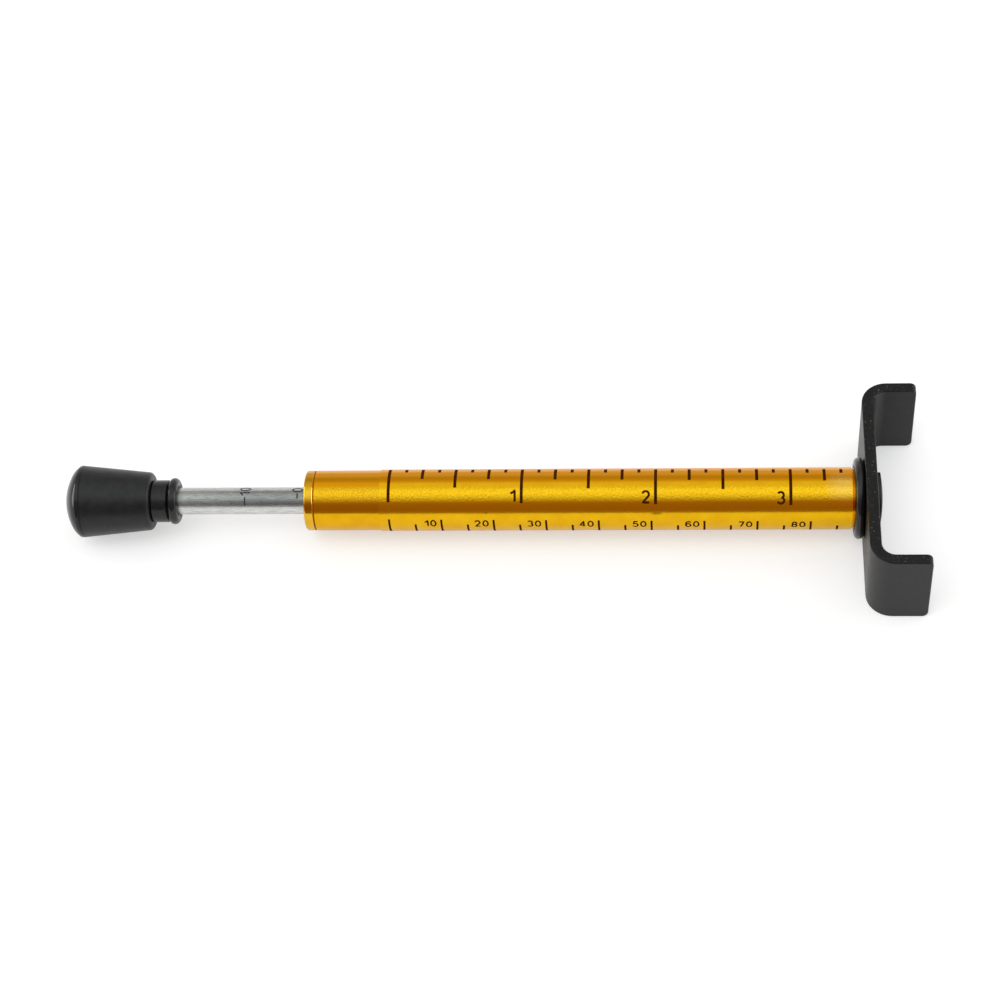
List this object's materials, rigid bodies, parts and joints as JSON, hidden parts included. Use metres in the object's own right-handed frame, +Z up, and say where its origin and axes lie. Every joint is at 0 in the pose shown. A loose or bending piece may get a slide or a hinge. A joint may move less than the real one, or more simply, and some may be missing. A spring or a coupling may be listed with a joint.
{
  "type": "belt tension tester",
  "caption": "Pencil-type belt tension tester: sprung plunger with knob in a round barrel, force and deflection rings, and a bent hook that straddles the belt.",
  "frame": {"origin": "under the middle of the overall length, on the plane that the tester lies on", "axes": "+X along the barrel towards the hook, +Y across the hook, +Z up from the long edge of the hook that the tester lies on"},
  "size_m": [0.165, 0.0432, 0.0168],
  "materials": {
    "gold_barrel": "gold anodised",
    "gold_bush": "turned, gold anodised",
    "scale_film": "gold metallised film with black print",
    "zinc_rod": "dull zinc plate",
    "bright_steel": "turned",
    "spring_steel": "drawn spring wire",
    "black_insert": "black oxide",
    "knob_plastic": "moulded, matt",
    "ring_rubber": "moulded nitrile",
    "inner_rubber": "moulded",
    "hook_paint": "satin black paint",
    "black_rivet": "satin black paint",
    "washer_nylon": "moulded nylon"
  },
  "bodies": {
    "barrel": {"barrel_tube": "gold_barrel", "mouth_bush": "gold_bush", "bush_bumper": "inner_rubber", "scale_film": "scale_film", "end_plug": "gold_bush", "spring_seat": "bright_steel", "main_spring": "spring_steel", "hook_rivet": "black_rivet", "hook_washer": "washer_nylon"},
    "follower": {"spring_follower": "bright_steel"},
    "plunger": {"plunger_rod": "zinc_rod", "retaining_clip": "spring_steel", "knob_insert": "black_insert", "knob": "knob_plastic"},
    "force_ring": {"force_ring": "ring_rubber"},
    "deflection_ring": {"deflection_ring": "ring_rubber"},
    "hook": {"hook_plate": "hook_paint"}
  },
  "joints": [
    {"name": "plunger_slide", "type": "slide", "parent": "barrel", "child": "follower", "axis": [1, 0, 0], "range_m": [0, 0.024], "stiffness_N_per_m": 4370, "springref_m": -0.002, "deforming": ["main_spring"]},
    {"name": "plunger_spin", "type": "hinge", "parent": "follower", "child": "plunger", "pos_m": [0, 0, 0.00838], "axis": [1, 0, 0], "continuous": true},
    {"name": "force_ring_slide", "type": "slide", "parent": "plunger", "child": "force_ring", "axis": [-1, 0, 0], "range_m": [-0.024, 0]},
    {"name": "deflection_ring_slide", "type": "slide", "parent": "barrel", "child": "deflection_ring", "axis": [-1, 0, 0], "range_m": [0, 0.1]},
    {"name": "hook_swivel", "type": "hinge", "parent": "barrel", "child": "hook", "pos_m": [0.07215, 0, 0.00838], "axis": [1, 0, 0], "continuous": true}
  ]
}
